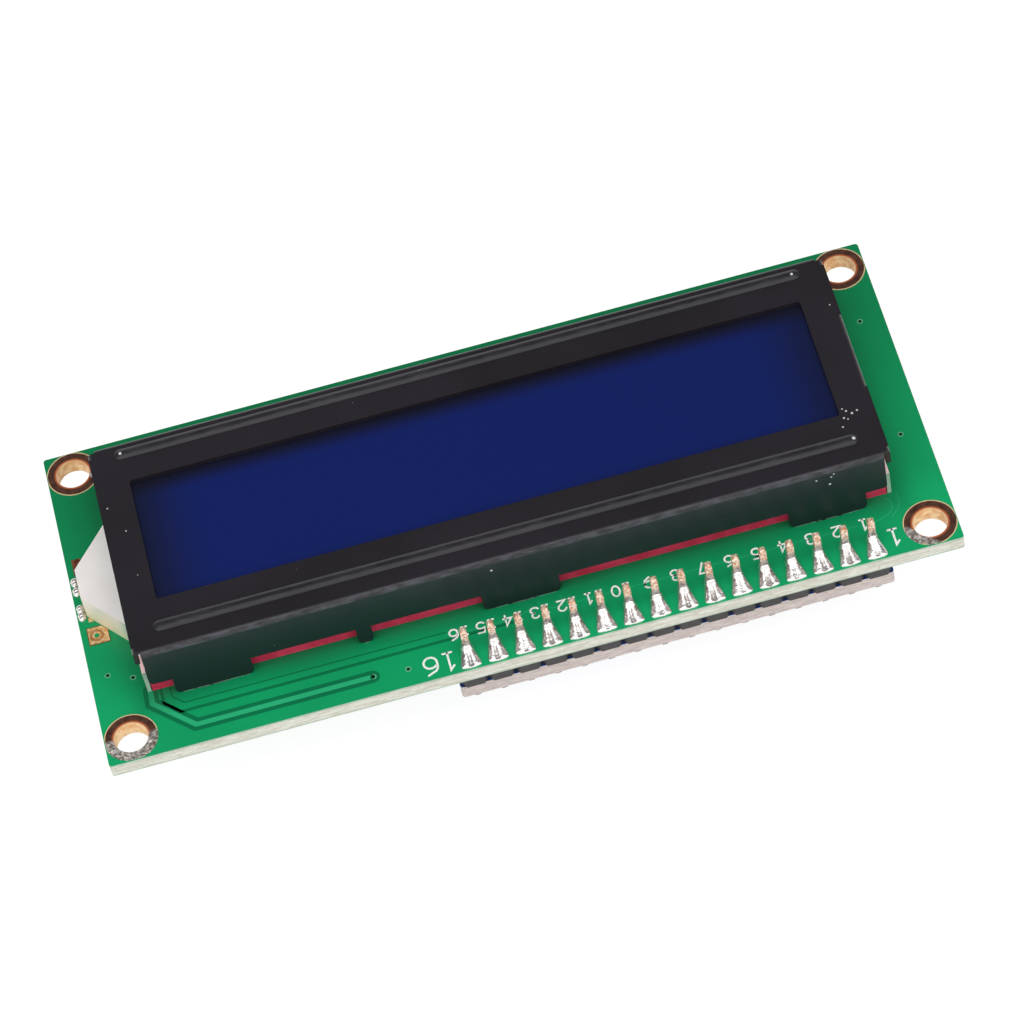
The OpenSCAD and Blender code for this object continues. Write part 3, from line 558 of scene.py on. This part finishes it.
def loop_ribbon(ring, width, z0, z1, verts, faces):
    """Adds a flat stroke of one width round a closed ring of points."""
    half = width / 2
    n, first = len(ring), len(verts)
    middle = sum(ring, Vector((0, 0))) / n
    for z in (z0, z1):
        for side in (-half, half):
            for k, p in enumerate(ring):
                along = (ring[(k + 1) % n] - ring[k - 1]).normalized()
                out = Vector((along.y, -along.x))
                out = out if out.dot(p - middle) > 0 else -out
                verts.append((*(p + out * side), z))
    low_in, low_out, top_in, top_out = (first + n * q for q in range(4))
    for k in range(n):
        m = (k + 1) % n
        faces += [[top_in + k, top_out + k, top_out + m, top_in + m],
                  [low_in + k, low_in + m, low_out + m, low_out + k],
                  [low_out + k, low_out + m, top_out + m, top_out + k],
                  [low_in + m, low_in + k, top_in + k, top_in + m]]


def round_cap(centre, start, half, steps=6):
    """Points of a half circle that starts at an angle, without its two ends."""
    turn = [start + math.pi * t / steps for t in range(1, steps)]
    return [centre + Vector((math.cos(a), math.sin(a))) * half for a in turn]


def ribbon(points, width, z0, z1, verts, faces):
    """Adds a flat stroke of one width with round ends along a line of points. A closed line,
    whose last point repeats the first, gives a ring."""
    if points[0] == points[-1]:
        loop_ribbon([Vector(p) for p in points[:-1]], width, z0, z1, verts, faces)
        return
    half = width / 2
    line = [Vector(p) for p in points]
    left, right = [], []
    for k, p in enumerate(line):
        before = (p - line[k - 1]).normalized() if k else None
        after = (line[k + 1] - p).normalized() if k < len(line) - 1 else None
        before, after = before or after, after or before
        mid = (before + after).normalized()
        reach = half / max(0.4, mid.dot(before))
        side = Vector((-mid.y, mid.x)) * reach
        left.append(p + side)
        right.append(p - side)

    first_way, last_way = line[1] - line[0], line[-1] - line[-2]
    at_end = math.atan2(last_way.y, last_way.x) - math.pi / 2
    at_start = math.atan2(first_way.y, first_way.x) + math.pi / 2
    outline = right + round_cap(line[-1], at_end, half)
    outline += left[::-1] + round_cap(line[0], at_start, half)
    prism([tuple(p) for p in outline], z0, z1, verts, faces)


def disc(x, y, r, z0, z1, verts, faces, n=20):
    prism([(x + r * math.cos(2 * math.pi * k / n), y + r * math.sin(2 * math.pi * k / n))
           for k in range(n)], z0, z1, verts, faces)


def arc(x, y, rx, ry, start, end, n=8):
    turn = [math.radians(start + (end - start) * k / n) for k in range(n + 1)]
    return [(x + rx * math.cos(a), y + ry * math.sin(a)) for a in turn]


# Strokes of the digits in a box 4 wide and 6 high
DIGITS = {
    "0": [arc(2, 3, 1.9, 3, 0, 360, 20)],
    "1": [[(0.9, 4.7), (2.1, 6), (2.1, 0)], [(0.8, 0), (3.4, 0)]],
    "2": [arc(2, 4.2, 1.9, 1.8, 165, -35, 10) + [(0.1, 0), (3.9, 0)]],
    "3": [arc(1.9, 4.5, 1.7, 1.5, 155, -80, 8), arc(1.9, 1.55, 2.0, 1.55, 85, -155, 10)],
    "4": [[(3.0, 0), (3.0, 6), (0.1, 1.8), (4.1, 1.8)]],
    "5": [[(3.7, 6), (0.6, 6), (0.4, 3.3)] + arc(1.9, 1.9, 2.0, 1.9, 130, -145, 10)],
    "6": [[(3.3, 6), (1.9, 5.4)] + arc(2.3, 3.0, 2.2, 2.6, 130, 180, 4)
          + arc(2.05, 1.9, 1.95, 1.9, 180, 500, 14)],
    "7": [[(0.1, 6), (3.9, 6), (1.5, 0)]],
    "8": [arc(2, 4.5, 1.6, 1.45, 0, 360, 14), arc(2, 1.55, 1.95, 1.55, 0, 360, 16)],
    "9": [arc(1.95, 4.1, 1.95, 1.9, 0, 360, 14), [(3.9, 4.1), (3.5, 1.6), (1.2, 0)]],
}


def ring(x, y, r, n):
    """A closed circle of points, whose last one repeats the first."""
    points = arc(x, y, r, r, 0, 360, n)[:-1]
    return points + points[:1]


def numeral(text, x, y, height, stroke, verts, faces):
    """Adds plain figures centred at (x, y), upright with +Y up."""
    unit = height / 6
    step = 5.4 * unit
    start = x - (len(text) * step - 1.4 * unit) / 2
    for k, figure in enumerate(text):
        for line in DIGITS[figure]:
            moved = [(start + k * step + px * unit, y + (py - 3) * unit) for px, py in line]
            if math.dist(moved[0], moved[-1]) < 1e-6:
                moved[-1] = moved[0]
            ribbon(moved, stroke, 0, INK_T, verts, faces)


def mark_finish(name, color, roughness, specular):
    """A finish from a function that gives the colour's node for it."""
    f = Finish(name)
    f.look(color(f), roughness, specular=specular)
    return f


def board_marks():
    """Traces seen through the mask of the main board, as the gaps beside them, and the vias."""
    gaps, lines, rings, hole_shade_dots = ([], []), ([], []), ([], []), ([], [])
    ribbon(GAPS[0][1], GAPS[0][0], 0, GAP_T, *gaps)
    ribbon(LANE, LANE_GAP_W, 0, GAP_T, *gaps)
    ribbon(LANE, LANE_W, GAP_T, TRACE_T, *lines)
    ribbon(GAPS[1][1], GAPS[1][0], 0, GAP_T, *gaps)
    for line in FINE_LINES:
        ribbon(line, FINE_W, 0, GAP_T, *lines)
    for x, y in VIAS:
        ribbon(ring(x, y, VIA_RING_R, 18), VIA_RING_W, 0, TRACE_T, *rings)
        # near-black discs stand for the via holes: painted shade in the holes
        disc(x, y, VIA_HOLE_R, 0, TRACE_T, *hole_shade_dots)
    # the back: routes fanned out from the pin row to the two chips
    for k, x in enumerate(PIN_X):
        bend = 9.6 - 0.55 * abs(k - 7.5)
        end = -13.3 + (k - 7.5) * 0.9 if k < 11 else 17 + (k - 13) * 1.6
        ribbon([(x, 14.6), (x, bend), (end, bend - abs(end - x) * 0.5), (end, -4.0)],
               BACK_W, BACK_Z - GAP_T, BACK_Z, *lines)
    piece("mask_gaps", *gaps, mark_finish(
        "mask_gap", lambda f: mask_color(f, f.noise(9, 2), (0, 88, 52), (0, 122, 76)),
        0.34, 0.3), "main_mask")
    piece("mask_traces", *lines, mark_finish(
        "mask_trace", lambda f: mask_color(f, f.noise(9, 2), (10, 140, 86), (46, 186, 126)),
        0.32, 0.35), "main_mask")
    piece("via_rings", *rings, mark_finish(
        "via_ring", lambda f: f.mix(f.noise(0.2), (60, 160, 110), (130, 200, 160)),
        0.35, 0.4), "main_mask")
    piece("via_holes", *hole_shade_dots, mark_finish(
        "via_hole", lambda f: f.mix(f.noise(0.1), (6, 20, 12), (26, 40, 30)),
        0.6, 0.2), "main_mask")


def pin_numbers():
    ink = [], []
    for k, x in enumerate(PIN_X):
        numeral(str(k + 1), x + 0.3, 13.8, 1.15, 0.17, *ink)
    numeral("1", -34.0, 16.0, 1.75, 0.2, *ink)
    numeral("16", 8.8, 16.5, 1.9, 0.2, *ink)
    f = Finish("ink")
    mottle = f.noise(0.25, 2)
    f.look(f.mix(f.ramp(mottle, 0.3, 0.6), (222, 228, 222), (250, 250, 247)), 0.55, specular=0.3)
    f.bump(mottle * 0.01)
    piece("pin_numbers", *ink, f, "white_film")


# ---------- solder on the front ----------

def joint_width(y):
    """Half the width of one front joint at a distance from its pin towards the edge."""
    if y < 0:
        return 0.66 * math.sqrt(max(0.0, 1 - (y / JOINT_BACK) ** 2))
    width = 0.6 + 0.36 * min(1, y / JOINT_FLARE)
    if y > JOINT_ROUND:
        width *= math.sqrt(max(0.0, 1 - ((y - JOINT_ROUND) / JOINT_ROUND_L) ** 3))
    return width


def joint_height(x, y, split, lean):
    """Height of one front joint above its pad, at a place measured from its pin. Two lobes
    run down from the pin to the board's edge, with a crease between them."""
    width = joint_width(y)
    if width < 1e-6:
        return 0.0
    u = x / width
    if abs(u) >= 1:
        return 0.0
    along = max(0.0, 1 - max(0.0, y - 0.1) / 2.25)
    body = 0.28 + 0.62 * along ** 1.25
    if y < 0:
        body *= 0.75 + 0.25 * (1 + y / JOINT_BACK)
    round_off = (1 - abs(u) ** 2.2) ** 0.62
    crease = split * math.exp(-((u - lean) / (0.1 + 0.16 * (1 - along))) ** 2)
    crease *= min(1, max(0.0, y - 0.25) * 2.5)
    away = max(0.0, math.hypot(x, y) - 0.4)
    climb = 0.32 * math.exp(-(away / 0.14) ** 2) if abs(u) < 0.9 else 0.0
    return body * round_off * (1 - crease) + climb


def front_joints():
    """The sixteen joints as one piece, each a closed skin over a grid of heights."""
    verts, faces = [], []
    across, along = 26, 34
    for k, px in enumerate(PIN_X):
        split = 0.16 + 0.3 * ((k * 7) % 5) / 5 + (0.25 if k in (1, 4, 6, 15) else 0)
        lean = 0.12 * math.sin(k * 2.3)
        first = len(verts)
        for j in range(along + 1):
            y = JOINT_FROM + (JOINT_TO - JOINT_FROM) * j / along
            width = joint_width(y)
            for i in range(across + 1):
                u = math.sin(math.pi * (i / across - 0.5))
                x = width * u
                verts.append((px + x, PIN_Y + y, joint_height(x * 0.999, y, split, lean)))
        top = len(verts)
        verts += [(x, y, JOINT_SUNK) for x, y, _ in verts[first:top]]
        rows, size = across + 1, top - first
        for j in range(along):
            for i in range(across):
                a = first + j * rows + i
                faces.append([a, a + 1, a + rows + 1, a + rows])
                faces.append([size + c for c in (a, a + rows, a + rows + 1, a + 1)])
        rim = [first + i for i in range(rows)]
        rim += [first + j * rows + across for j in range(1, along + 1)]
        rim += [first + along * rows + i for i in range(across - 1, -1, -1)]
        rim += [first + j * rows for j in range(along - 1, 0, -1)]
        for a, b in zip(rim, rim[1:] + rim[:1]):
            faces.append([b, a, a + size, b + size])
    f = solder_finish("front_solder", (226, 222, 220))
    joints = piece("solder_joints", verts, faces, f, "solder", smooth=True)
    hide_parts("front_solder")


board_marks()
pin_numbers()
front_joints()


# ---------- camera, lamps and floor ----------

def camera():
    data = bpy.data.cameras.new("camera")
    data.sensor_width, data.lens = SENSOR, LENS
    data.clip_start, data.clip_end = 0.01, 20
    cam = bpy.data.objects.new("camera", data)
    forward = Vector(CAMERA_WAY).normalized()
    right = Vector(CAMERA_RIGHT)
    right = (right - right.dot(forward) * forward).normalized()
    up = right.cross(forward)
    turn = Matrix((right, up, -forward)).transposed().to_4x4()
    cam.matrix_world = Matrix.Translation(Vector(CAMERA_AT) * MM) @ turn
    bpy.context.scene.collection.objects.link(cam)
    bpy.context.scene.camera = cam


def softbox(name, azimuth, elevation, distance, size, radiance):
    """A rectangular lamp that looks at the object; azimuth in degrees from +X."""
    data = bpy.data.lights.new(name, "AREA")
    data.shape, data.size, data.size_y = "RECTANGLE", size[0], size[1]
    data.energy = radiance * math.pi * size[0] * size[1]
    lamp = bpy.data.objects.new(name, data)
    a, e = math.radians(azimuth), math.radians(elevation)
    way = Vector((math.cos(a) * math.cos(e), math.sin(a) * math.cos(e), math.sin(e)))
    lamp.location = way * distance
    lamp.rotation_mode = "QUATERNION"
    lamp.rotation_quaternion = way.to_track_quat("Z", "Y")
    lamp.visible_camera = False
    bpy.context.scene.collection.objects.link(lamp)


def floor():
    """A pale floor that curves up into a low backdrop all round."""
    turn = [math.radians(d) for d in range(10, 91, 10)]
    profile = [(FLOOR_INNER, 0), (FLOOR_R, 0)]
    profile += [(FLOOR_R + FLOOR_CURVE * math.sin(t), FLOOR_CURVE - FLOOR_CURVE * math.cos(t))
                for t in turn]
    profile += [(FLOOR_R + FLOOR_CURVE, WALL_H)]
    sides = [2 * math.pi * k / FLOOR_SIDES for k in range(FLOOR_SIDES)]
    verts, faces = [(0, 0, 0)], []
    for r, h in profile:
        verts += [(r * math.cos(a), r * math.sin(a), h) for a in sides]
    for k in range(FLOOR_SIDES):
        n = (k + 1) % FLOOR_SIDES
        faces.append((0, 1 + k, 1 + n))
        for ring_no in range(len(profile) - 1):
            a, b = 1 + ring_no * FLOOR_SIDES, 1 + (ring_no + 1) * FLOOR_SIDES
            faces.append((a + k, b + k, b + n, a + n))
    mesh = bpy.data.meshes.new("floor")
    mesh.from_pydata(verts, [], faces)
    mesh.polygons.foreach_set("use_smooth", [True] * len(faces))
    obj = bpy.data.objects.new("floor", mesh)
    obj.location = (0, 0, CAD_BOX[0].z)
    bpy.context.scene.collection.objects.link(obj)
    mesh.materials.append(floor_material())


def floor_material():
    """Pale grey to the light, and nearly white where it is seen or mirrored."""
    mat = bpy.data.materials.new("floor")
    mat.use_nodes = True
    tree = mat.node_tree
    tree.nodes.clear()
    new, link = tree.nodes.new, tree.links.new
    path, out = new("ShaderNodeLightPath"), new("ShaderNodeOutputMaterial")
    seen = path.outputs["Is Camera Ray"]
    for name in ("Is Glossy Ray", "Is Transmission Ray"):
        either = new("ShaderNodeMath")
        either.operation = "MAXIMUM"
        link(seen, either.inputs[0])
        link(path.outputs[name], either.inputs[1])
        seen = either.outputs[0]
    pale, shade, glow, both, pick = (new("ShaderNode" + k) for k in (
        "BsdfDiffuse", "BsdfDiffuse", "Emission", "AddShader", "MixShader"))
    pale.inputs[0].default_value = (0.8, 0.8, 0.8, 1)
    shade.inputs[0].default_value = (0.2, 0.2, 0.2, 1)
    glow.inputs["Strength"].default_value = 0.9
    link(shade.outputs[0], both.inputs[0])
    link(glow.outputs[0], both.inputs[1])
    link(seen, pick.inputs[0])
    link(pale.outputs[0], pick.inputs[1])
    link(both.outputs[0], pick.inputs[2])
    link(pick.outputs[0], out.inputs[0])
    return mat


camera()
for lamp_name, settings in LAMPS.items():
    softbox(lamp_name, *settings)
floor()

world = bpy.data.worlds.new("world")
bpy.context.scene.world = world
world.use_nodes = True
world.node_tree.nodes["Background"].inputs[0].default_value = (1, 1, 1, 1)
world.node_tree.nodes["Background"].inputs[1].default_value = WORLD_LEVEL
bpy.context.scene.view_settings.view_transform = "Standard"
